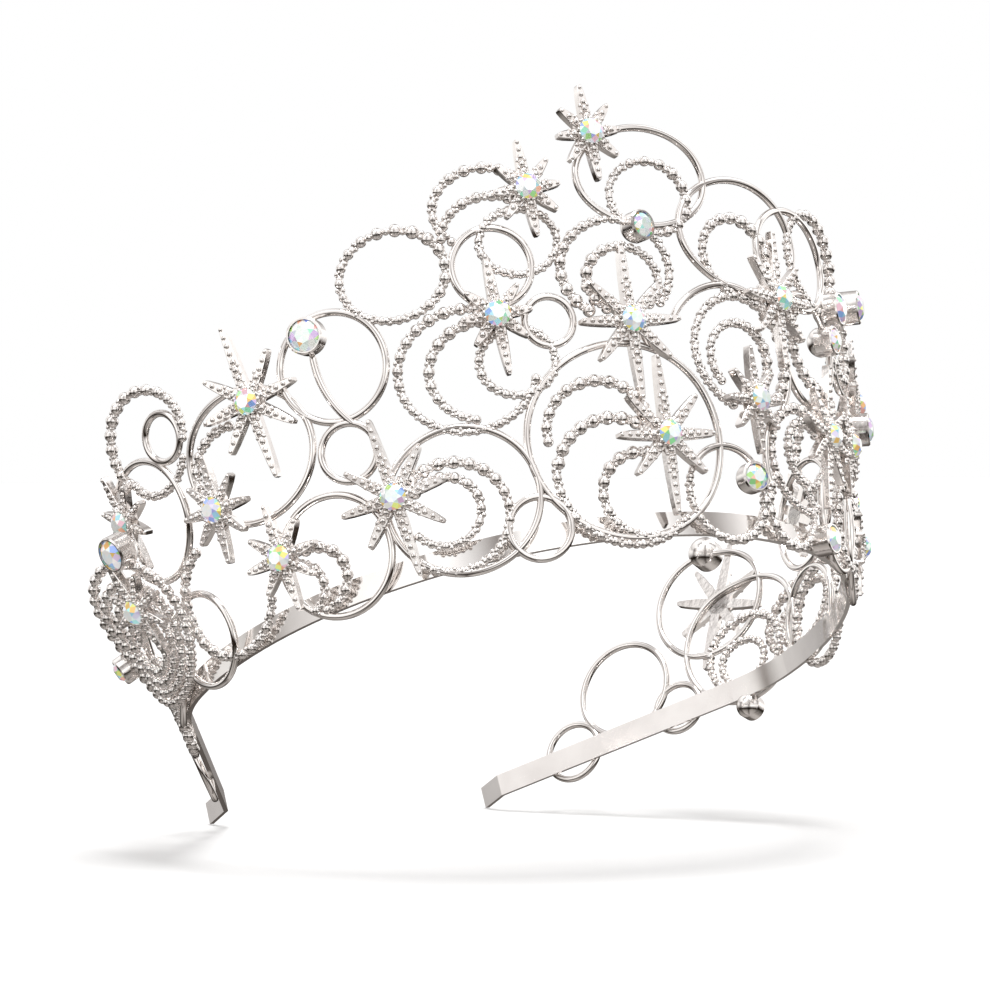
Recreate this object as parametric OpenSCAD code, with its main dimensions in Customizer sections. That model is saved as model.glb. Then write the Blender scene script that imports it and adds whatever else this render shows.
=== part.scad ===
// Celestial tiara: a springy flat band with cast rings, beaded rings and crescents,
// eight-rayed stars and small tube settings soldered along its outer side.
//
// Places on the openwork are given as [s, v]: s is the distance along the band from
// the front centre (positive to the right as seen from the front), v the height up the
// openwork. Left and right in names are also as seen from the front. Angles on a ring
// start at +s and turn towards +v.

/* [Band] */
// Radius of the round front and sides of the band
head_r = 73.5; // [70:0.5:78]
// Turn of the band from the front centre to where it starts to close in
side_angle = 92.5; // [88:0.5:96]
// Radius of the tighter bend behind each side
heel_r = 34; // [28:1:40]
// Turn of that tighter bend
heel_angle = 28.5; // [20:0.5:34]
// Length of each straight leg behind the bend
leg_l = 63; // [55:1:70]
// Length of the short end that is kicked outwards
tip_l = 8; // [5:0.5:12]
// Turn of that short end
tip_kick = 31; // [10:1:45]
// Height of the band strip
band_h = 5; // [4:0.5:7]
// Thickness of the band strip
band_t = 1; // [0.8:0.1:1.5]
// Backward lean of the band plane when the tiara is worn
worn_tilt = 26; // [0:1:35]

/* [Openwork] */
// Outward lean of the openwork from the band's upright
flare = 12.4; // [0:0.2:18]
// Radius of the plain ring wire
wire_r = 0.75; // [0.6:0.05:0.9]
// Extra outward lean of the beaded fans on the bends behind the sides
fan_lean = 12; // [6:1:16]
// Distance between large beads along a beaded ring
bead_pitch = 2.9; // [2.4:0.1:3.4]
// Radius of the small grains between the large beads
grain_r = 0.78; // [0.75:0.01:0.85]

/* [Stars] */
// Thickness of a star's rays
star_t = 1.7; // [1:0.1:2]
// Width of a ray at the hub
ray_w = 2.1; // [1.6:0.1:2.6]
// Radius of the grains on a ray, beside the hub
ray_grain_r = 0.95; // [0.7:0.05:1.1]
// Distance between the grains on a ray
ray_grain_pitch = 1.7; // [1.4:0.1:2.2]
// Diameter of the stone on a star's hub
star_stone_d = 5.2; // [4.4:0.1:6]

/* [Tube settings] */
// Wall of a tube setting around its stone
cup_wall = 0.6; // [0.4:0.1:0.9]
// How far a stone stands proud of its setting
stone_crown = 1.2; // [0.8:0.1:1.6]

/* [Hidden] */

metal = "silver";
crystal = "lavender";

// Plan of the band
front_l = head_r * side_angle * PI / 180;
heel_l = heel_r * heel_angle * PI / 180;
leg_heading = side_angle + heel_angle;
heel_c = (head_r - heel_r) * [sin(side_angle), -cos(side_angle)];
leg_start = heel_c + heel_r * [sin(leg_heading), -cos(leg_heading)];

// Depth of each layer, measured outwards from the middle of the band strip
wire_off = band_t / 2 + wire_r;
star_off = wire_off + 0.4;
hub_h = 0.7;

// Stones and their seats: height of a stone's back, of a setting's domed back and lip,
// depth of its recess and the gap around its stone
stone_back = 0.4;
dome_h = 2.4;
lip_h = 0.3;
recess = 0.5;
stone_gap = 0.05;
cup_off = wire_off - 0.2;

// Plain rings: [s, v, radius, stretch along the band if oval]. Oval rings and rings wider
// than this follow the curve of the band.
bent_from = 12.8;
peak = [0, 73.8, 10.4, 1.2];
shoulder = [21, 63.6, 12, 1.25];
crest = [-29.5, 57.5, 8];
front_large = [-10, 19.5, 19.8];
front_left = [-43.5, 13, 14.5];
temple_left = [-60, 46, 11];
temple_right = [60, 53, 11];
side = [80.5, 36, 13.4];
low = [70, 10.3, 12];
rear = [108.5, 35.5, 12.5];
base_left = [-107, 8, 9.5];
base_right = [109.5, 11.5, 10.5];
right_mid = [40, 44, 12];
right_top = [36.5, 62.5, 10.5, 1.15];
right_low = [52, 11, 11.5];
bend = [131.5, 15, 15];
mast = [139, 28, 13];
leg = [163.5, 15, 11.3];
pin_loop_front = [150.5, 5, 5.8];
pin_loop_rear = [179, 4.5, 6.8];
small = [
  [-21.5, 45, 5], [-30.5, 4.4, 6.2], [-61.5, 28.7, 5.8], [62, 28.5, 5.8],
  [-97, 48.5, 5], [97, 48.5, 5]
];

// Wires that are only part of a ring: [s, v, radius, first angle, last angle]
front_right = [16, 37, 15.5, -58, 152];
base_top = [11, 8.7, 9.7, 12, 158];
stems = [[-39.5, 46.5, 23.5, 172, 214], [38, 17, 16, 150, 208]];

// Beaded wires: [s, v, radius, first angle, last angle, angle of the largest bead,
// largest bead radius, smallest bead radius, extra lean if any]
bead_crest = [[-46, 60, 9, 0, 360, 40, 1.35, 0.85]];
bead_b = [
  [-29, 69.5, 8.3, 22, 222, 70, 1.2, 0.9],
  [-28.6, 63.7, 8.2, 60, 172, 70, 1.15, 0.9],
  [-24.2, 61.7, 6.7, 0, 360, 110, 0.95, 0.8]
];
bead_c = [
  [-37.3, 38, 12.3, 58, 340, 80, 1.3, 0.85],
  [-34.3, 37.2, 9.9, 85, 250, 115, 1.3, 0.85],
  [-28.4, 37.8, 6.8, 115, 420, 190, 1, 0.85]
];
bead_d = [
  [-7.5, 54.5, 10.4, -42, 232, 210, 1.35, 0.85],
  [-6.6, 52.3, 6.9, -48, 236, 195, 1.4, 0.85]
];
bead_peak = [[0.7, 69.5, 7.6, 0, 360, 5, 1.3, 0.8]];
bead_e = [
  [-15.5, 21.7, 10.3, 24, 184, 90, 1.3, 0.9],
  [-11, 13, 14.5, 166, 318, 190, 1, 0.85],
  [-13.7, 12.8, 11.5, 48, 162, 100, 1.4, 0.9],
  [-8.7, 8.5, 8.5, 78, 280, 100, 1.4, 0.85]
];
bead_base = [[11, 8.7, 9.7, 162, 372, 350, 1.2, 0.85]];
bead_l = [
  [-46.2, 10.3, 10.8, -140, 122, 90, 1.35, 0.85],
  [-47.3, 11.7, 6.8, -150, 132, 100, 1.2, 0.85]
];
bead_k = [[75, 7.3, 6.3, 85, 300, 135, 1.3, 0.9], [79.2, 6.6, 5.2, 112, 250, 150, 1.1, 0.85]];
bead_i = [[-96.8, 12.7, 11.8, 105, 335, 180, 1.25, 0.95]];
bead_i_right = [[104, 9.5, 11.8, -170, 75, 0, 1.25, 0.95]];
bead_j = [[-101.5, 50.3, 10, -25, 212, 130, 1.35, 0.9], [-101, 46.5, 8, 200, 330, 200, 1, 0.8]];
bead_h = [[84, 34.5, 9, -15, 102, 60, 1.15, 0.85]];
bead_t = [
  [18.5, 38.5, 12, -42, 250, 0, 1.4, 0.85],
  [17.5, 37.2, 7.5, -62, 224, 0, 1.2, 0.85]
];
bead_p = [[19, 59, 8.2, -42, 252, 55, 1.35, 0.85]];
bead_q = [[44.5, 65, 10, -70, 250, 10, 1.45, 0.9]];
bead_w = [
  [34.8, 18.8, 10.8, 55, 320, 90, 1.3, 0.85],
  [36.5, 20.4, 6.8, 50, 330, 90, 1.1, 0.85],
  [30, 7.5, 8, 130, 400, 200, 1.2, 0.85]
];
bead_temple_right = [
  [43, 45.5, 9.2, 0, 360, 270, 1.3, 1], [60, 52.5, 8, 0, 360, 0, 1.35, 1],
  [66, 27, 9.5, 0, 360, 0, 1.35, 1], [60, 11, 9, 0, 360, 90, 1.3, 1]
];
bead_fan_left = [
  [-122, 18, 15.5, 0, 360, 120, 1.35, 1, fan_lean],
  [-122, 17, 12.2, 0, 360, 120, 1.35, 1, fan_lean],
  [-122, 16, 8.9, 0, 360, 120, 1.3, 0.95, fan_lean],
  [-122, 15, 5.6, 0, 360, 120, 1.2, 0.9, fan_lean],
  [-143, 9, 11, 165, 340, 250, 1.2, 0.9]
];
bead_fan_right = [
  [116, 17, 11.5, 0, 360, 60, 1.35, 1, fan_lean], [116, 16, 8, 0, 360, 60, 1.3, 0.95, fan_lean]
];
bead_leg = [
  [131.5, 11.5, 9.3, 0, 360, 90, 1.2, 0.85],
  [132.5, 9.8, 5.4, 0, 360, 90, 1, 0.8]
];

// Stars: [s, v, size, twist, extra lean if any, extra offset if any].
// A size is [upright ray, level ray, slanting ray].
big = [16.3, 11.2, 11.2];
mid = [11.2, 8.5, 8.3];
little = [10, 7, 7.6];
front_stars = [
  [-9.5, 82.5, little, 4], [-21.5, 72, little, 2], [-30.5, 47.5, [12.3, 7.2, 7.6], 0],
  [-7, 43.5, big, 0], [-3, 20, big, 0], [28, 51.5, [14.5, 11, 11.2], 2],
  [19, 28.5, mid, 3]
];
left_stars = [
  [-55.5, 17, big, 3], [-76, 45.5, big, 2], [-90, 29, mid, -8], [-80, 14, mid, 0],
  [-114, 38.5, mid, 6], [-114, 21, mid, 0, fan_lean, 1.2]
];
right_stars = [
  [44, 26, big, -8], [57, 28, mid, 0], [76, 45.5, big, -2], [90, 29, mid, 8],
  [80, 14, mid, 0], [114, 38.5, mid, -6], [136.5, 27.5, big, 22]
];
all_stars = concat(front_stars, left_stars, right_stars);

// Tube settings: [s, v, stone diameter, depth of the setting, turn, extra lean if any]
settings = [
  [-3, 63, 5.2, 2.8, 12], [-62.5, 53.3, 6.4, 3, 0], [17, 12, 5.2, 2.4, -12],
  [50, 56, 6.2, 3.6, 0], [46, 47.5, 5.2, 3.6, 0], [62, 61.5, 6.2, 4.6, 0],
  [39.5, 2.5, 5.4, 3.6, 0], [68, 36, 6, 4.8, 0], [138, 42, 6.2, 3.6, 0],
  [133, -1.4, 4.6, 2.6, 0], [-111, 33, 6.4, 3.6, 0, fan_lean], [-138, 19.5, 5, 3.4, 0, fan_lean]
];

// Heading of the band at s, turning from 0 at the front centre
function heading_in(a) = a < front_l ? a / head_r * 180 / PI
  : a < front_l + heel_l ? side_angle + (a - front_l) / heel_r * 180 / PI
  : leg_heading;
function heading(s) = sign(s) * heading_in(abs(s));

// Point of the band's middle line at distance a from the front centre, right-hand half
function plan_in(a) =
  let (h = heading_in(a))
  a < front_l ? head_r * [sin(h), -cos(h)]
  : a < front_l + heel_l ? heel_c + heel_r * [sin(h), -cos(h)]
  : leg_start + (a - front_l - heel_l) * [cos(h), sin(h)];
function plan(s) = let (p = plan_in(abs(s))) [s < 0 ? -p[0] : p[0], p[1]];

// Point and outward direction of the openwork at [s, v], off above its inner face
function outward(s) =
  let (h = heading(s)) [sin(h) * cos(flare), -cos(h) * cos(flare), -sin(flare)];
function spot(s, v, off) =
  let (p = plan(s), h = heading(s), d = v * sin(flare) + off * cos(flare))
  [p[0] + sin(h) * d, p[1] - cos(h) * d, v * cos(flare) - off * sin(flare)];

// Radius of the band's curve at s; the legs are straight
function curve_r(s) = abs(s) < front_l ? head_r : abs(s) < front_l + heel_l ? heel_r : 1000;

// The same ring on the other side of the front centre
function opposite(ring) = [-ring[0], ring[1], ring[2]];

// The same beaded wire mirrored to the other side
function opposite_beads(w) = [-w[0], w[1], w[2], 180 - w[4], 180 - w[3], 180 - w[5], w[6], w[7]];

// Leans the finished tiara back as it is worn
module worn() rotate([-worn_tilt, 0, 0]) children();

// Value i of a list, or 0 where the list is shorter
function or_none(list, i) = is_undef(list[i]) ? 0 : list[i];

// Carries a child from its own plane to the openwork: x along the band, y up, z outwards
module place(s, v, off, lean = 0) {
  p = plan(s);
  worn() translate([p[0], p[1], 0]) rotate([0, 0, heading(s)])
    rotate([90 + flare + lean, 0, 0]) translate([0, v, off]) children();
}

// Half of the band strip, right-hand side, standing on the z = 0 plane
module half_band() {
  rotate([0, 0, -90]) rotate_extrude(angle = side_angle, $fn = 180)
    translate([head_r - band_t / 2, 0]) square([band_t, band_h]);
  translate([heel_c[0], heel_c[1], 0]) rotate([0, 0, side_angle - 90])
    rotate_extrude(angle = heel_angle, $fn = 120)
      translate([heel_r - band_t / 2, 0]) square([band_t, band_h]);
  translate([leg_start[0], leg_start[1], 0]) rotate([0, 0, leg_heading]) {
    translate([0, -band_t / 2, 0]) cube([leg_l, band_t, band_h]);
    translate([leg_l, 0, 0]) cylinder(h = band_h, d = band_t, $fn = 32);
    translate([leg_l, 0, 0]) rotate([0, 0, -tip_kick])
      translate([0, -band_t / 2, 0]) cube([tip_l, band_t, band_h]);
  }
}

module band() color(metal) worn() {
  half_band();
  mirror([1, 0, 0]) half_band();
}

// Flat ring of round wire, sunk so that it lies evenly on the band's curve
module flat_ring(ring) {
  place(ring[0], ring[1], wire_off - ring[2] * ring[2] / 4 / curve_r(ring[0]))
    rotate_extrude($fn = 96) translate([ring[2], 0]) circle(r = wire_r, $fn = 32);
}

// Wire bent along a circle, or an oval stretched along the band, that follows the band's
// curve from angle a0 to a1
module bent_wire(s, v, r, a0 = 0, a1 = 360, stretch = 1) {
  sides = 8;
  step = 1.8;
  closed = a1 - a0 >= 360;
  n = ceil((a1 - a0) / 180 * PI * r / step);
  rings = closed ? n : n + 1;
  function along(i) = let (a = a0 + (a1 - a0) * i / n)
    spot(s + r * stretch * cos(a), v + r * sin(a), wire_off);
  function out(i) = let (a = a0 + (a1 - a0) * i / n) outward(s + r * stretch * cos(a));
  function side_dir(i) = let (t = along(i + 0.01) - along(i - 0.01), c = cross(t, out(i)))
    c / norm(c);
  points = [
    for (i = [0:rings - 1], k = [0:sides - 1])
      let (a = (k + 0.5) * 360 / sides)
      along(i) + wire_r * (cos(a) * side_dir(i) + sin(a) * out(i))
  ];
  function at(i, k) = (i % rings) * sides + k % sides;
  walls = [
    for (i = [0:n - 1], k = [0:sides - 1])
      [at(i, k), at(i, k + 1), at(i + 1, k + 1), at(i + 1, k)]
  ];
  ends = [
    [for (k = [sides - 1:-1:0]) at(0, k)],
    [for (k = [0:sides - 1]) at(rings - 1, k)]
  ];
  worn() polyhedron(points, closed ? walls : concat(walls, ends));
}

// A plain ring: bent to the band where it is wide or oval, flat where it is small
module plain_ring(ring) color(metal) {
  stretch = max(1, or_none(ring, 3));
  if (ring[2] > bent_from || stretch > 1)
    bent_wire(ring[0], ring[1], ring[2], stretch = stretch);
  else flat_ring(ring);
}

// Beaded wire: large beads graded in size, with a small grain between each pair
module beaded_wire(w) {
  full = w[4] - w[3] >= 360;
  gaps = round((w[4] - w[3]) / 180 * PI * w[2] / bead_pitch);
  for (i = [0:2 * gaps - (full ? 1 : 0)]) {
    a = w[3] + (w[4] - w[3]) * i / gaps / 2;
    s = w[0] + w[2] * cos(a);
    r = i % 2 == 1 ? grain_r : w[7] + (w[6] - w[7]) * (1 + cos(a - w[5])) / 2;
    place(s, w[1] + w[2] * sin(a), wire_off, or_none(w, 8)) sphere(r = r, $fn = 24);
  }
}

module beaded(wires) color(metal) for (w = wires) beaded_wire(w);

// Outline of one ray, along +x
module ray(l) polygon([
  [0, -ray_w / 2], [l * 0.55, -ray_w * 0.44], [l - 0.6, -ray_w * 0.26], [l, -ray_w * 0.1],
  [l, ray_w * 0.1], [l - 0.6, ray_w * 0.26], [l * 0.55, ray_w * 0.44], [0, ray_w / 2]
]);

function ray_length(size, i) = i % 4 == 2 ? size[0] : i % 4 == 0 ? size[1] : size[2];

// Eight-rayed star with a raised hub and a row of grains on each ray
module star(p) {
  size = p[2];
  hub_r = star_stone_d / 2 + 0.15;
  first = hub_r + 0.6;
  place(p[0], p[1], star_off + or_none(p, 5), or_none(p, 4)) rotate([0, 0, p[3]]) {
    linear_extrude(star_t) {
      circle(r = hub_r, $fn = 48);
      for (i = [0:7]) rotate(i * 45) ray(ray_length(size, i));
    }
    translate([0, 0, star_t]) cylinder(h = hub_h, r1 = hub_r, r2 = hub_r - 0.2, $fn = 48);
    for (i = [0:7]) {
      l = ray_length(size, i) - 0.6;
      n = round((l - first) / ray_grain_pitch);
      for (k = [0:n]) rotate([0, 0, i * 45])
        translate([first + k * (l - first) / n, 0, star_t])
          sphere(r = ray_grain_r * (1 - 0.45 * k / n), $fn = 20);
    }
  }
}

module stars(list) color(metal) for (p = list) star(p);

// Round faceted stone, girdle at z = 0, table up
module stone(d) {
  cylinder(h = stone_crown, d1 = d, d2 = d * 0.58, $fn = 48);
  translate([0, 0, -stone_back]) cylinder(h = stone_back, d1 = d * 0.86, d2 = d, $fn = 48);
}

// Tube setting with a domed back and a bevelled lip, open at the front for its stone
module setting(p) {
  outer = p[2] / 2 + cup_wall;
  dome_r = (outer * outer / dome_h + dome_h) / 2;
  place(p[0], p[1], cup_off, or_none(p, 5)) rotate([0, p[4], 0]) difference() {
    union() {
      cylinder(h = p[3], r = outer, $fn = 64);
      translate([0, 0, p[3]]) cylinder(h = lip_h, r1 = outer, r2 = outer - lip_h, $fn = 64);
      intersection() {
        translate([0, 0, dome_r - dome_h]) sphere(r = dome_r, $fn = 64);
        translate([0, 0, -dome_h]) cylinder(h = dome_h + 0.1, r = outer, $fn = 64);
      }
    }
    translate([0, 0, p[3] - recess]) cylinder(h = 2, r = p[2] / 2 + stone_gap, $fn = 64);
  }
}

module ring_peak() plain_ring(peak);
module ring_shoulder() plain_ring(shoulder);
module ring_crest() plain_ring(crest);
module ring_front_large() plain_ring(front_large);
module ring_front_left() plain_ring(front_left);
module ring_front_right()
  color(metal) bent_wire(front_right[0], front_right[1], front_right[2], front_right[3], front_right[4]);
module ring_temple_left() plain_ring(temple_left);
module ring_temple_right() plain_ring(temple_right);
module ring_side_left() plain_ring(opposite(side));
module ring_side_right() plain_ring(side);
module ring_low_left() plain_ring(opposite(low));
module ring_low_right() plain_ring(low);
module ring_rear_left() plain_ring(opposite(rear));
module ring_rear_right() plain_ring(rear);
module ring_base_left() plain_ring(base_left);
module ring_base_right() plain_ring(base_right);
module ring_right_mid() plain_ring(right_mid);
module ring_right_top() plain_ring(right_top);
module ring_right_low() plain_ring(right_low);
module ring_bend_left() plain_ring(opposite(bend));
module ring_bend_right() plain_ring(bend);
module ring_mast_left() plain_ring(opposite(mast));
module ring_mast_right() plain_ring(mast);
module ring_leg_left() plain_ring(opposite(leg));
module ring_leg_right() plain_ring(leg);
module pin_loops() for (r = [pin_loop_front, pin_loop_rear]) {
  plain_ring(r);
  plain_ring(opposite(r));
}
module small_rings() for (r = small) plain_ring(r);
module curved_stems() color(metal)
  for (w = concat(stems, [base_top])) bent_wire(w[0], w[1], w[2], w[3], w[4]);
module beaded_ring_crest() beaded(bead_crest);
module beaded_arcs_crest() beaded(bead_b);
module beaded_arcs_upper_left() beaded(bead_c);
module beaded_arcs_upper() beaded(bead_d);
module beaded_ring_peak() beaded(bead_peak);
module beaded_arcs_front() beaded(bead_e);
module beaded_arc_base() beaded(bead_base);
module beaded_arcs_front_left() beaded(bead_l);
module beaded_arcs_low_left() beaded([for (w = bead_k) opposite_beads(w)]);
module beaded_arcs_low_right() beaded(bead_k);
module beaded_arc_base_left() beaded(bead_i);
module beaded_arc_base_right() beaded(bead_i_right);
module beaded_arcs_rear_left() beaded(bead_j);
module beaded_arcs_rear_right() beaded([for (w = bead_j) opposite_beads(w)]);
module beaded_arcs_side() beaded(concat(bead_h, [for (w = bead_h) opposite_beads(w)]));
module beaded_arcs_right() beaded(bead_t);
module beaded_ring_shoulder() beaded(bead_p);
module beaded_ring_right_top() beaded(bead_q);
module beaded_arcs_right_low() beaded(bead_w);
module beaded_arcs_leg_left() beaded([for (w = bead_leg) opposite_beads(w)]);
module beaded_arcs_leg_right() beaded(bead_leg);
module beaded_fan_left() beaded(bead_fan_left);
module beaded_fan_right() beaded(bead_fan_right);
module beaded_arcs_temple_right() beaded(bead_temple_right);
module stars_front() stars(front_stars);
module stars_left() stars(left_stars);
module stars_right() stars(right_stars);
module star_stones() color(crystal)
  for (p = all_stars)
    place(p[0], p[1], star_off + or_none(p, 5) + star_t + hub_h + stone_back, or_none(p, 4))
      stone(star_stone_d);
module tube_settings() color(metal) for (p = settings) setting(p);
module tube_stones() color(crystal)
  for (p = settings) place(p[0], p[1], cup_off, or_none(p, 5)) rotate([0, p[4], 0])
    translate([0, 0, p[3] - recess + stone_back]) stone(p[2]);

band();
ring_peak();
ring_shoulder();
ring_crest();
ring_front_large();
ring_front_left();
ring_front_right();
ring_temple_left();
ring_temple_right();
ring_side_left();
ring_side_right();
ring_low_left();
ring_low_right();
ring_rear_left();
ring_rear_right();
ring_base_left();
ring_base_right();
ring_right_mid();
ring_right_top();
ring_right_low();
ring_bend_left();
ring_bend_right();
ring_mast_left();
ring_mast_right();
ring_leg_left();
ring_leg_right();
pin_loops();
small_rings();
curved_stems();
beaded_ring_crest();
beaded_arcs_crest();
beaded_arcs_upper_left();
beaded_arcs_upper();
beaded_ring_peak();
beaded_arcs_front();
beaded_arc_base();
beaded_arcs_front_left();
beaded_arcs_low_left();
beaded_arcs_low_right();
beaded_arc_base_left();
beaded_arc_base_right();
beaded_arcs_rear_left();
beaded_arcs_rear_right();
beaded_arcs_side();
beaded_arcs_right();
beaded_ring_shoulder();
beaded_ring_right_top();
beaded_arcs_right_low();
beaded_arcs_leg_left();
beaded_arcs_leg_right();
beaded_fan_left();
beaded_fan_right();
beaded_arcs_temple_right();
stars_front();
stars_left();
stars_right();
star_stones();
tube_settings();
tube_stones();
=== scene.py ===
import math

import bmesh
import bpy
import numpy as np
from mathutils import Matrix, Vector


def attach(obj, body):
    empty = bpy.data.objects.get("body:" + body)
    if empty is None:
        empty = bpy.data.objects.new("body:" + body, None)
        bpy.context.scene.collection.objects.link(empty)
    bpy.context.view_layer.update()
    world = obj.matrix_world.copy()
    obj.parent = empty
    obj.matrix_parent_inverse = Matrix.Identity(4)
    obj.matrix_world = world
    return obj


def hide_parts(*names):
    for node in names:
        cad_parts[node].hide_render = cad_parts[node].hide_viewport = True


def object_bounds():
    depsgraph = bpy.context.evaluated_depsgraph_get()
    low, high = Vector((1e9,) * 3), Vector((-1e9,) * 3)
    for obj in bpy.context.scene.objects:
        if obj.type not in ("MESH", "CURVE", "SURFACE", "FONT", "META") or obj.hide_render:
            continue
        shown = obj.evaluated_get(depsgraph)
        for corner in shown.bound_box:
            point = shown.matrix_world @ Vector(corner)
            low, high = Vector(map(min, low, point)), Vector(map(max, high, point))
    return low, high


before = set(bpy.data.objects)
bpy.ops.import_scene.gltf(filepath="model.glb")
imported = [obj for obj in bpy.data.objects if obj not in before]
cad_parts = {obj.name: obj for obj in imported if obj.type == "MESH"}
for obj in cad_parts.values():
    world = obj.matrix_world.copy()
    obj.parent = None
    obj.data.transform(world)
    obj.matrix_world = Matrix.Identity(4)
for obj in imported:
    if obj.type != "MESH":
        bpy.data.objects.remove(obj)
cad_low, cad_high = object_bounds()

MM = 0.001

# Camera: azimuth is measured from the front, negative to the wearer's right
CAMERA_AZIMUTH = math.radians(-30.64)
CAMERA_ELEVATION = math.radians(0.853)
CAMERA_DISTANCE = 0.790
CAMERA_AIM = Vector((-0.0042, 0.0014, 0.0394))
LENS = 134.6
FLOOR_TONE = 0.8
TOP_LIGHT = 1.6
SENSOR = 36.0

# Beads: what the CAD chain stands for
GRAIN_RADIUS = 0.78 * MM
CORE_RADIUS = 0.68 * MM
LINK_REACH = 1.75 * MM
# Smoothing an eight-sided wire draws it in by this much
SWELL = 0.07 * MM
HEAD_CENTRE = np.array([0.0, 0.02, 0.02])

# Stones: faces of one stone have their middles this close together
STONE_REACH = 2.2 * MM

# Stars: a ray is a tapered bar with a row of grains, and a collar holds the stone
RAYS = 8
RAY_HALF_WIDTH = 1.2 * MM
RAY_SOFT_EDGE = 0.16 * MM
RAY_TURN_LIMIT = 4
ROW_START = 2.9 * MM
ROW_GAP_LIMIT = 3 * MM
STAR_REACH = 16.5 * MM
COLLAR_RADIUS = 2.75 * MM
COLLAR_SIDES = 32
COLLAR_GRAINS = 16
COLLAR_GRAIN_RADIUS = 0.42 * MM
SIDE_GRAIN_RADIUS = 0.46 * MM

# Grains clustered round the core wire between two beads
CLUSTER_GRAIN_RADIUS = 0.52 * MM
CLUSTER_PLACES = ((-1, 0.25), (1, 0.25), (-0.6, -0.45), (0.6, -0.45))


# ---------------------------------------------------------------- materials

def new_material(name):
    material = bpy.data.materials.new(name)
    material.use_nodes = True
    tree = material.node_tree
    return material, tree, tree.nodes["Principled BSDF"]


def object_noise(tree, scale, detail, roughness=0.5):
    where = tree.nodes.new("ShaderNodeTexCoord")
    noise = tree.nodes.new("ShaderNodeTexNoise")
    noise.inputs["Scale"].default_value = scale
    noise.inputs["Detail"].default_value = detail
    noise.inputs["Roughness"].default_value = roughness
    tree.links.new(where.outputs["Object"], noise.inputs["Vector"])
    return noise


def plated_metal(name, dark, light, rough, bump_scale, bump_height):
    """Bright plated casting: tone and gloss vary a little, over the casting's fine ripple."""
    material, tree, shader = new_material(name)
    shader.inputs["Metallic"].default_value = 1.0
    tone = tree.nodes.new("ShaderNodeValToRGB")
    tone.color_ramp.elements[0].position = 0.35
    tone.color_ramp.elements[1].position = 0.65
    tone.color_ramp.elements[0].color = (*dark, 1)
    tone.color_ramp.elements[1].color = (*light, 1)
    mottle = object_noise(tree, 90.0, 3.0)
    tree.links.new(mottle.outputs["Fac"], tone.inputs["Fac"])
    tree.links.new(tone.outputs["Color"], shader.inputs["Base Color"])
    gloss = tree.nodes.new("ShaderNodeMapRange")
    gloss.inputs["From Min"].default_value = 0.3
    gloss.inputs["From Max"].default_value = 0.7
    gloss.inputs["To Min"].default_value = rough * 0.7
    gloss.inputs["To Max"].default_value = rough * 1.4
    smear = object_noise(tree, 240.0, 4.0, 0.6)
    tree.links.new(smear.outputs["Fac"], gloss.inputs["Value"])
    tree.links.new(gloss.outputs["Result"], shader.inputs["Roughness"])
    ripple = object_noise(tree, bump_scale, 3.0)
    bump = tree.nodes.new("ShaderNodeBump")
    bump.inputs["Strength"].default_value = 1.0
    bump.inputs["Distance"].default_value = bump_height
    tree.links.new(ripple.outputs["Fac"], bump.inputs["Height"])
    tree.links.new(bump.outputs["Normal"], shader.inputs["Normal"])
    return material


def crystal_material(name):
    """Stone with painted reflections: each facet shows its own pastel, taken from the way it faces and where
    it is, in place of the light the real stone reflects and splits inside.
    """
    material, tree, shader = new_material(name)
    facet = tree.nodes.new("ShaderNodeAttribute")
    facet.attribute_name = "facet"
    facet.attribute_type = "GEOMETRY"
    ramp = tree.nodes.new("ShaderNodeValToRGB")
    # Pastels of the painted reflections: coloured crown glints, a pale table, a near-white girdle and back
    stops = [
        (0.0, (0.95, 0.6, 0.8)), (0.09, (0.3, 0.45, 0.95)), (0.17, (0.45, 0.85, 0.9)),
        (0.25, (0.3, 0.8, 0.35)), (0.33, (0.85, 0.9, 0.25)), (0.41, (0.95, 0.55, 0.2)),
        (0.48, (0.93, 0.5, 0.5)), (0.55, (0.78, 0.68, 0.95)), (0.64, (0.82, 0.93, 0.97)),
        (0.76, (0.97, 0.93, 0.9)), (0.88, (0.75, 0.9, 0.82)), (1.0, (0.97, 0.95, 0.97)),
    ]
    ramp.color_ramp.interpolation = "LINEAR"
    ramp.color_ramp.elements[0].position = stops[0][0]
    ramp.color_ramp.elements[0].color = (*stops[0][1], 1)
    ramp.color_ramp.elements[1].position = stops[-1][0]
    ramp.color_ramp.elements[1].color = (*stops[-1][1], 1)
    for at, colour in stops[1:-1]:
        ramp.color_ramp.elements.new(at).color = (*colour, 1)
    tree.links.new(facet.outputs["Fac"], ramp.inputs["Fac"])
    tree.links.new(ramp.outputs["Color"], shader.inputs["Base Color"])
    shader.inputs["Metallic"].default_value = 0.35
    shader.inputs["Roughness"].default_value = 0.06
    shader.inputs["Coat Weight"].default_value = 1.0
    shader.inputs["Coat Roughness"].default_value = 0.02
    return material


WIRE_METAL = plated_metal("wire_plate", (0.84, 0.8, 0.775), (0.94, 0.91, 0.89), 0.08, 260.0, 0.00003)
BEAD_METAL = plated_metal("bead_plate", (0.84, 0.8, 0.775), (0.95, 0.92, 0.9), 0.12, 700.0, 0.0002)
STAR_METAL = plated_metal("star_plate", (0.84, 0.8, 0.775), (0.94, 0.91, 0.89), 0.13, 700.0, 0.00006)
BAND_METAL = plated_metal("band_plate", (0.87, 0.84, 0.82), (0.95, 0.925, 0.905), 0.1, 60.0, 0.00003)
# Stone colours are painted reflections, set per facet
CRYSTAL = crystal_material("crystal_painted_reflections")


# ---------------------------------------------------------------- reading the frame

def vertices_of(node):
    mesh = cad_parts[node].data
    co = np.zeros(len(mesh.vertices) * 3, np.float32)
    mesh.vertices.foreach_get("co", co)
    return co.reshape(-1, 3).astype(float)


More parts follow.
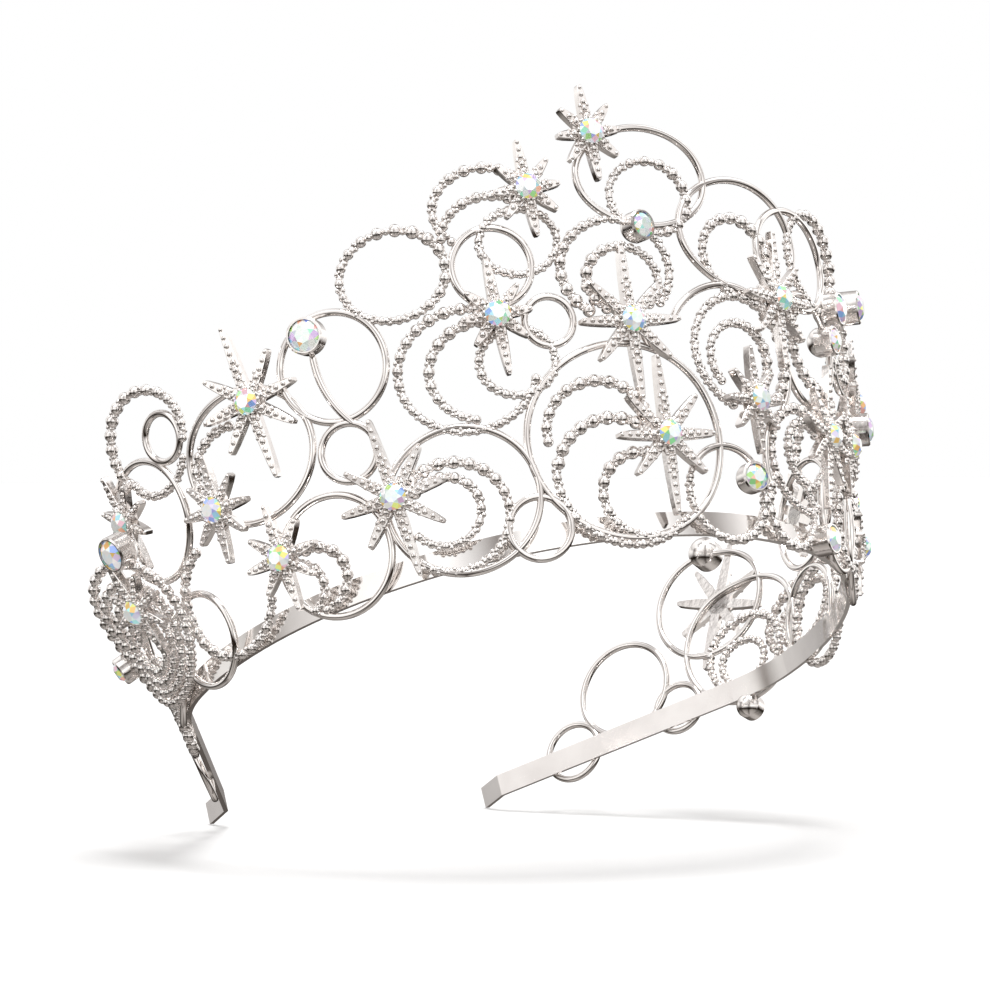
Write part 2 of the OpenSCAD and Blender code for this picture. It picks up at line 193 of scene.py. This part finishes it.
def islands(node):
    """Vertex arrays of a node's separate CAD faces: each face keeps its own vertices."""
    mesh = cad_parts[node].data
    points = vertices_of(node)
    edges = np.zeros(len(mesh.edges) * 2, np.int32)
    mesh.edges.foreach_get("vertices", edges)
    edges = edges.reshape(-1, 2)
    label = np.arange(len(points))
    while True:
        low = np.minimum(label[edges[:, 0]], label[edges[:, 1]])
        new = label.copy()
        np.minimum.at(new, edges[:, 0], low)
        np.minimum.at(new, edges[:, 1], low)
        new = new[new]
        if (new == label).all():
            break
        label = new
    order = np.argsort(label, kind="stable")
    cuts = np.flatnonzero(np.diff(label[order])) + 1
    return [points[part] for part in np.split(order, cuts)]


def fit_sphere(points):
    """Centre and radius of the sphere through points."""
    a = np.column_stack([2 * points, np.ones(len(points))])
    x = np.linalg.lstsq(a, (points ** 2).sum(1), rcond=None)[0]
    centre = x[:3]
    return centre, math.sqrt(max(x[3] + centre @ centre, 0.0))


def flat_normal(points):
    """Direction in which points spread least, turned away from the head."""
    centre = points.mean(0)
    normal = np.linalg.svd(points - centre, full_matrices=False)[2][2]
    return normal if normal @ (centre - HEAD_CENTRE) > 0 else -normal


# ---------------------------------------------------------------- mesh helpers

def unit_sphere(rings=9, sides=16):
    """Vertices and faces of a unit ball, poles along z."""
    verts = [(0, 0, 1)]
    for i in range(1, rings):
        a = math.pi * i / rings
        verts += [(math.sin(a) * math.cos(t), math.sin(a) * math.sin(t), math.cos(a))
                  for t in (2 * math.pi * k / sides for k in range(sides))]
    verts.append((0, 0, -1))
    faces = [(0, 1 + k, 1 + (k + 1) % sides) for k in range(sides)]
    for i in range(rings - 2):
        a = 1 + i * sides
        faces += [(a + k, a + sides + k, a + sides + (k + 1) % sides, a + (k + 1) % sides)
                  for k in range(sides)]
    last = len(verts) - 1
    a = last - sides
    faces += [(a + k, last, a + (k + 1) % sides) for k in range(sides)]
    return np.array(verts), faces


class Builder:
    """Collects vertices and faces of one piece."""

    def __init__(self):
        self.verts, self.faces, self.count = [], [], 0

    def add(self, verts, faces):
        self.verts.append(np.asarray(verts, float))
        self.faces += [tuple(i + self.count for i in f) for f in faces]
        self.count += len(verts)

    def piece(self, name, material, smooth=True):
        mesh = bpy.data.meshes.new(name)
        mesh.from_pydata(np.vstack(self.verts).tolist(), [], self.faces)
        mesh.validate()
        mesh.update()
        if smooth:
            mesh.polygons.foreach_set("use_smooth", [True] * len(mesh.polygons))
        mesh.materials.append(material)
        thing = bpy.data.objects.new(name, mesh)
        bpy.context.scene.collection.objects.link(thing)
        return thing


def axes_from(z):
    """Two directions square to z and to each other."""
    z = z / np.linalg.norm(z)
    x = np.cross(z, [0, 0, 1] if abs(z[2]) < 0.9 else [1, 0, 0])
    x /= np.linalg.norm(x)
    return x, np.cross(z, x), z


def add_rod(builder, a, b, radius, sides=12):
    """Straight round rod between two points, open ends hidden in beads."""
    x, y, _ = axes_from(b - a)
    ring = [radius * (math.cos(t) * x + math.sin(t) * y)
            for t in (2 * math.pi * k / sides for k in range(sides))]
    verts = [a + p for p in ring] + [b + p for p in ring]
    faces = [(k, (k + 1) % sides, sides + (k + 1) % sides, sides + k) for k in range(sides)]
    faces += [tuple(range(sides - 1, -1, -1)), tuple(range(sides, 2 * sides))]
    builder.add(verts, faces)


BALL, BALL_FACES = unit_sphere()
SMALL_BALL, SMALL_BALL_FACES = unit_sphere(7, 12)


def add_ball(builder, centre, radius, rng, ball=BALL, faces=BALL_FACES, uneven=0.05):
    """A cast bead: a ball a little out of round."""
    turn = np.linalg.qr(rng.normal(size=(3, 3)))[0]
    shape = turn @ np.diag(1 + uneven * rng.uniform(-1, 1, 3)) @ turn.T
    builder.add(centre + radius * (ball @ shape.T), faces)


# ---------------------------------------------------------------- beaded wires

def beaded_piece(node, seed):
    rng = np.random.default_rng(seed)
    beads = [fit_sphere(points) for points in islands(node)]
    centres = np.array([b[0] for b in beads])
    radii = np.array([b[1] for b in beads])
    small = np.abs(radii - GRAIN_RADIUS) < 0.008 * MM
    builder = Builder()
    for i in range(len(beads)):
        if not small[i]:
            add_ball(builder, centres[i], radii[i], rng)
            continue
        gap = np.linalg.norm(centres - centres[i], axis=1)
        near = [j for j in np.argsort(gap)[1:4] if gap[j] < LINK_REACH and not small[j]]
        if not near:
            add_ball(builder, centres[i], radii[i], rng)
            continue
        around = centres[gap < 12 * MM]
        normal = flat_normal(around) if len(around) > 3 else np.array([0, -1.0, 0])
        for j in near:
            add_rod(builder, centres[i], centres[j], CORE_RADIUS)
        along = centres[near[-1]] - centres[near[0]] if len(near) > 1 else centres[near[0]] - centres[i]
        along /= np.linalg.norm(along)
        across = np.cross(normal, along)
        for side, lift in CLUSTER_PLACES:
            at = centres[i] + (side * 0.5 * across + lift * normal + 0.15 * rng.normal() * along) * MM
            add_ball(builder, at, CLUSTER_GRAIN_RADIUS, rng, SMALL_BALL, SMALL_BALL_FACES, 0.12)
    piece = builder.piece(node + "_beads", BEAD_METAL)
    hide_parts(node)
    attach(piece, "root")


# ---------------------------------------------------------------- stones

def grouped(parts, reach):
    """Joins the faces whose middles lie within reach of each other."""
    groups = []
    for points in parts:
        middle = (points.min(0) + points.max(0)) / 2
        for group in groups:
            if np.linalg.norm(group[0] - middle) < reach:
                group[1].append(points)
                break
        else:
            groups.append((middle, [points]))
    return [np.vstack(g[1]) for g in groups]


def add_stone(builder, values, points, rng):
    """Round cut stone: table, crown mains, upper girdle facets, and a shallow back."""
    normal = flat_normal(points)
    heights = points @ normal
    middle = points.mean(0)
    middle = middle - normal * (middle @ normal)
    flat = points - np.outer(heights, normal) - middle
    radius = np.linalg.norm(flat, axis=1).max()
    girdle = heights[np.linalg.norm(flat, axis=1) > 0.98 * radius].mean()
    top = heights.max()
    x, y, z = axes_from(normal)
    start = rng.uniform(0, math.pi / 4)

    def ring(count, r, h, turn):
        return [middle + normal * h + r * (math.cos(t) * x + math.sin(t) * y)
                for t in (start + 2 * math.pi * (k + turn) / count for k in range(count))]

    crown = top - girdle
    verts = ring(8, 0.5 * radius, top, 0) + ring(8, 0.76 * radius, girdle + 0.6 * crown, 0.5)
    verts += ring(16, radius, girdle, 0) + ring(16, 0.96 * radius, heights.min(), 0)
    verts += [middle + normal * top]
    faces = []
    for k in range(8):
        n = (k + 1) % 8
        faces.append((40 + 8, k, n))
        faces.append((k, 8 + k, n))
        faces.append((k, 8 + (k - 1) % 8, 16 + 2 * k, 8 + k))
        faces.append((8 + k, 16 + 2 * k, 16 + 2 * k + 1))
        faces.append((8 + k, 16 + 2 * k + 1, 16 + (2 * k + 2) % 16))
    for k in range(16):
        n = (k + 1) % 16
        faces.append((16 + k, 32 + k, 32 + n, 16 + n))
    faces.append(tuple(32 + k for k in range(15, -1, -1)))
    # Painted reflections: each facet's place on the crystal ramp gives a pale table, coloured crown facets,
    # and a near-white girdle and back
    base = rng.uniform()
    for k in range(8):
        table = 0.62 + 0.34 * ((base + 0.21 * math.sin(k * 1.7)) % 1.0)
        values += [table, rng.uniform(), base + rng.uniform(-0.3, 0.3), rng.uniform(), rng.uniform()]
    values += [0.9] * 17
    builder.add(verts, faces)


def stones_piece(node, seed):
    rng = np.random.default_rng(seed)
    builder, values = Builder(), []
    for points in grouped(islands(node), STONE_REACH):
        add_stone(builder, values, points, rng)
    piece = builder.piece(node + "_cut", CRYSTAL, smooth=False)
    # Each facet's painted reflection colour, as a place on the crystal ramp
    facet = piece.data.attributes.new("facet", "FLOAT", "FACE")
    facet.data.foreach_set("value", [v % 1.0 for v in values])
    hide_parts(node)
    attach(piece, "root")


# ---------------------------------------------------------------- stars

def add_ray(builder, hub, x, y, z, length, thick):
    """Tapered bar with softened upper edges, from the hub outwards along x."""
    soft = RAY_SOFT_EDGE
    verts, faces = [], []
    stations = ((0, 1.0), (0.3, 0.98), (0.55, 0.88), (0.8, 0.68), (0.96, 0.46), (1.0, 0.3))
    for along, wide in stations:
        half = RAY_HALF_WIDTH * wide
        for across, up in ((-half, 0), (-half, thick - soft), (-half + soft, thick),
                           (half - soft, thick), (half, thick - soft), (half, 0)):
            verts.append(hub + x * length * along + y * across + z * up)
    for i in range(len(stations) - 1):
        a, b = 6 * i, 6 * i + 6
        faces += [(a + k, b + k, b + (k + 1) % 6, a + (k + 1) % 6) for k in range(6)]
    faces.append(tuple(6 * (len(stations) - 1) + k for k in range(6)))
    builder.add(verts, faces)


def stars_piece(node, stones, seed):
    """Cast stars: tapered rays, a rough row of grains on each, and a beaded collar round the stone."""
    rng = np.random.default_rng(seed)
    bars, grains = Builder(), Builder()
    cloud = vertices_of(node)
    balls = [fit_sphere(points) for points in islands(node) if len(points) > 20]
    balls = [b for b in balls if 0.3 * MM < b[1] < 1.0 * MM]
    centres = np.array([b[0] for b in balls])
    for middle, normal in stones:
        away = centres - middle
        level = away @ normal
        flat = away - np.outer(level, normal)
        reach = np.linalg.norm(flat, axis=1)
        mine = np.flatnonzero((reach < STAR_REACH) & (reach > 2.6 * MM)
                              & (np.abs(level + 1.1 * MM) < 0.25 * MM))
        if not len(mine):
            continue
        x, y, z = axes_from(normal)
        angle = np.degrees(np.arctan2(flat[mine] @ y, flat[mine] @ x))
        near = cloud[np.linalg.norm(cloud - middle, axis=1) < 5 * MM]
        top = middle + normal * level[mine].mean()
        base = ((near - top) @ normal).min()
        thick = -base
        hub = top + normal * base
        turn = angle[np.argmin(reach[mine])] % 45
        for k in range(RAYS):
            want = turn + 45 * k
            off = (angle - want + 180) % 360 - 180
            row = mine[np.abs(off) < RAY_TURN_LIMIT]
            if not len(row):
                continue
            row = row[np.argsort(reach[row])]
            steps = np.diff(np.concatenate([[ROW_START], reach[row]]))
            if (steps > ROW_GAP_LIMIT).any():
                row = row[:np.argmax(steps > ROW_GAP_LIMIT)]
            if len(row) < 2:
                continue
            t = math.radians(want)
            ahead = math.cos(t) * x + math.sin(t) * y
            aside = np.cross(normal, ahead)
            length = reach[row[-1]] + 0.6 * MM
            add_ray(bars, hub, ahead, aside, normal, length, thick)
            for j in row:
                r = balls[j][1]
                at = centres[j] - 0.05 * MM * normal
                add_ball(grains, at, r * 0.84, rng, BALL, BALL_FACES, 0.1)
                if reach[j] > 0.5 * length:
                    continue
                for side in (-1, 1):
                    spot = at + ahead * 0.8 * MM + aside * side * 0.75 * MM - 0.1 * MM * normal
                    add_ball(grains, spot, SIDE_GRAIN_RADIUS, rng, SMALL_BALL, SMALL_BALL_FACES, 0.1)
        for k in range(COLLAR_GRAINS):
            t = math.radians(turn + 22.5 * k + 11)
            at = middle + COLLAR_RADIUS * (math.cos(t) * x + math.sin(t) * y) - 0.35 * MM * normal
            add_ball(grains, at, COLLAR_GRAIN_RADIUS, rng, SMALL_BALL, SMALL_BALL_FACES, 0.1)
        n = COLLAR_SIDES
        ring = [hub + COLLAR_RADIUS * (math.cos(a) * x + math.sin(a) * y) for a in
                (2 * math.pi * k / n for k in range(n))]
        up = normal * (thick + 0.75 * MM)
        verts = ring + [p + 0.8 * up for p in ring] + [p + up - 0.06 * (p - hub) for p in ring]
        faces = [(b + k, b + (k + 1) % n, b + n + (k + 1) % n, b + n + k)
                 for b in (0, n) for k in range(n)]
        faces += [tuple(range(n - 1, -1, -1)), tuple(range(2 * n, 3 * n))]
        bars.add(verts, faces)
    body = bars.piece(node + "_rays", STAR_METAL, smooth=False)
    body.data.set_sharp_from_angle(angle=math.radians(25))
    body.data.polygons.foreach_set("use_smooth", [True] * len(body.data.polygons))
    lumps = grains.piece(node + "_grains", BEAD_METAL)
    for piece in (body, lumps):
        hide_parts(node)
        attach(piece, "root")


def stone_seats(node):
    """Girdle middle and outward direction of each stone of a node."""
    seats = []
    for points in grouped(islands(node), STONE_REACH):
        normal = flat_normal(points)
        middle = points.mean(0)
        heights = points @ normal
        radius = np.linalg.norm(points - middle - np.outer(heights - middle @ normal, normal), axis=1)
        girdle = heights[radius > 0.98 * radius.max()].mean()
        seats.append((middle + normal * (girdle - middle @ normal), normal))
    return seats


# ---------------------------------------------------------------- bent wires

def smooth_wire(node):
    """The bent wires are eight-sided in CAD: the same wire, truly round."""
    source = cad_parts[node]
    mesh = source.data.copy()
    piece = bpy.data.objects.new(node + "_round", mesh)
    bpy.context.scene.collection.objects.link(piece)
    work = bmesh.new()
    work.from_mesh(mesh)
    bmesh.ops.remove_doubles(work, verts=work.verts, dist=0.00001)
    bmesh.ops.join_triangles(work, faces=work.faces, angle_face_threshold=0.6, angle_shape_threshold=3.0)
    work.normal_update()
    for vert, normal in [(v, v.normal.copy()) for v in work.verts]:
        vert.co += SWELL * normal
    work.to_mesh(mesh)
    work.free()
    smooth = piece.modifiers.new("round", "SUBSURF")
    smooth.levels = smooth.render_levels = 1
    bpy.context.view_layer.objects.active = piece
    piece.select_set(True)
    bpy.ops.object.modifier_apply(modifier="round")
    piece.select_set(False)
    mesh.polygons.foreach_set("use_smooth", [True] * len(mesh.polygons))
    mesh.materials.clear()
    mesh.materials.append(WIRE_METAL)
    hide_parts(node)
    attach(piece, "root")


# ---------------------------------------------------------------- stage

def camera():
    data = bpy.data.cameras.new("view")
    data.lens = LENS
    data.sensor_width = SENSOR
    data.clip_start = 0.01
    data.clip_end = 50
    thing = bpy.data.objects.new("view", data)
    back = Vector((
        math.sin(CAMERA_AZIMUTH) * math.cos(CAMERA_ELEVATION),
        -math.cos(CAMERA_AZIMUTH) * math.cos(CAMERA_ELEVATION),
        math.sin(CAMERA_ELEVATION),
    ))
    thing.location = CAMERA_AIM + CAMERA_DISTANCE * back
    thing.rotation_euler = (-back).to_track_quat("-Z", "Y").to_euler()
    bpy.context.scene.collection.objects.link(thing)
    bpy.context.scene.camera = thing


def floor():
    """Wide pale floor at the height of the band's tips."""
    half = 6.0
    level = cad_low[2] - 0.0002
    mesh = bpy.data.meshes.new("floor")
    corners = [(-half, -half, level), (half, -half, level), (half, half, level), (-half, half, level)]
    mesh.from_pydata(corners, [], [(0, 1, 2, 3)])
    thing = bpy.data.objects.new("floor", mesh)
    bpy.context.scene.collection.objects.link(thing)
    material, tree, shader = new_material("pale_floor")
    shader.inputs["Base Color"].default_value = (FLOOR_TONE, FLOOR_TONE, FLOOR_TONE, 1)
    shader.inputs["Roughness"].default_value = 0.9
    shader.inputs["Specular IOR Level"].default_value = 0.0
    mesh.materials.append(material)
    thing.visible_glossy = False


def grey_ramp(tree, value, stops):
    """Colour ramp of greys driven by a value."""
    ramp = tree.nodes.new("ShaderNodeValToRGB")
    ends = ramp.color_ramp.elements
    ends[0].position, ends[0].color = stops[0][0], (*stops[0][1:], 1)
    ends[1].position, ends[1].color = stops[-1][0], (*stops[-1][1:], 1)
    for stop in stops[1:-1]:
        ends.new(stop[0]).color = (*stop[1:], 1)
    tree.links.new(value, ramp.inputs["Fac"])
    return ramp.outputs["Color"]


def multiplied(tree, a, b):
    mix = tree.nodes.new("ShaderNodeMix")
    mix.data_type = "RGBA"
    mix.blend_type = "MULTIPLY"
    mix.inputs["Factor"].default_value = 1.0
    tree.links.new(a, mix.inputs[6])
    tree.links.new(b, mix.inputs[7])
    return mix.outputs[2]


def studio():
    """White to the camera; reflections see soft boxes, dark gaps between them and a dim floor."""
    world = bpy.data.worlds.new("studio")
    bpy.context.scene.world = world
    world.use_nodes = True
    tree = world.node_tree
    background = tree.nodes["Background"]
    where = tree.nodes.new("ShaderNodeTexCoord")
    split = tree.nodes.new("ShaderNodeSeparateXYZ")
    tree.links.new(where.outputs["Generated"], split.inputs["Vector"])
    lift = tree.nodes.new("ShaderNodeMapRange")
    lift.inputs["From Min"].default_value = -1
    lift.inputs["From Max"].default_value = 1
    tree.links.new(split.outputs["Z"], lift.inputs["Value"])
    height = grey_ramp(tree, lift.outputs["Result"], [
        (0.0, 0.50, 0.47, 0.45), (0.2, 0.34, 0.32, 0.3), (0.33, 0.02, 0.015, 0.01),
        (0.39, 0.03, 0.02, 0.015), (0.45, 0.6, 0.58, 0.57), (0.5, 1.0, 0.98, 0.96), (0.58, 1.25, 1.24, 1.22),
        (0.64, 0.7, 0.68, 0.67), (0.72, 1.05, 1.03, 1.02), (0.86, 1.35, 1.35, 1.35), (1.0, 1.0, 1.0, 1.0),
    ])
    turn = tree.nodes.new("ShaderNodeMath")
    turn.operation = "ARCTAN2"
    tree.links.new(split.outputs["X"], turn.inputs[0])
    tree.links.new(split.outputs["Y"], turn.inputs[1])
    around = tree.nodes.new("ShaderNodeMapRange")
    around.inputs["From Min"].default_value = -math.pi
    around.inputs["From Max"].default_value = math.pi
    tree.links.new(turn.outputs["Value"], around.inputs["Value"])
    panels = grey_ramp(tree, around.outputs["Result"], [
        (0.0, 1.1, 1.1, 1.1), (0.06, 1.2, 1.2, 1.2), (0.1, 0.2, 0.18, 0.17), (0.15, 0.9, 0.9, 0.9),
        (0.27, 1.3, 1.3, 1.3), (0.33, 0.25, 0.23, 0.22), (0.38, 0.85, 0.85, 0.85), (0.5, 1.0, 1.0, 1.0),
        (0.6, 0.28, 0.26, 0.25), (0.66, 1.1, 1.1, 1.1), (0.78, 1.25, 1.25, 1.25),
        (0.84, 0.25, 0.23, 0.22), (0.9, 0.95, 0.95, 0.95), (1.0, 1.1, 1.1, 1.1),
    ])
    room = multiplied(tree, height, panels)
    ray = tree.nodes.new("ShaderNodeLightPath")
    mix = tree.nodes.new("ShaderNodeMix")
    mix.data_type = "RGBA"
    tree.links.new(ray.outputs["Is Camera Ray"], mix.inputs["Factor"])
    tree.links.new(room, mix.inputs[6])
    mix.inputs[7].default_value = (1, 1, 1, 1)
    tree.links.new(mix.outputs[2], background.inputs["Color"])


def lights():
    """Soft light from straight above, which lays the shadows under the band."""
    sun = bpy.data.lights.new("top_light", "SUN")
    sun.energy = TOP_LIGHT
    sun.angle = math.radians(24)
    thing = bpy.data.objects.new("top_light", sun)
    thing.rotation_euler = (math.radians(4), 0, CAMERA_AZIMUTH)
    bpy.context.scene.collection.objects.link(thing)


bpy.context.scene.view_settings.view_transform = "Standard"
camera()
floor()
studio()
lights()

for name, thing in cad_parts.items():
    material = WIRE_METAL
    if name == "band":
        material = BAND_METAL
    elif name.startswith("stars") or name == "tube_settings":
        material = STAR_METAL
    thing.data.materials.clear()
    thing.data.materials.append(material)

for number, name in enumerate(sorted(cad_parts)):
    if name.startswith("beaded_"):
        beaded_piece(name, number)
for name in ("ring_front_large", "ring_front_left", "ring_front_right", "ring_side_left",
             "ring_side_right", "ring_bend_left", "ring_bend_right", "ring_mast_left",
             "ring_mast_right", "ring_peak", "ring_shoulder", "ring_right_top", "curved_stems"):
    smooth_wire(name)
seats = stone_seats("star_stones")
for number, name in enumerate(("stars_front", "stars_left", "stars_right")):
    stars_piece(name, seats, 40 + number)
stones_piece("star_stones", 11)
stones_piece("tube_stones", 12)
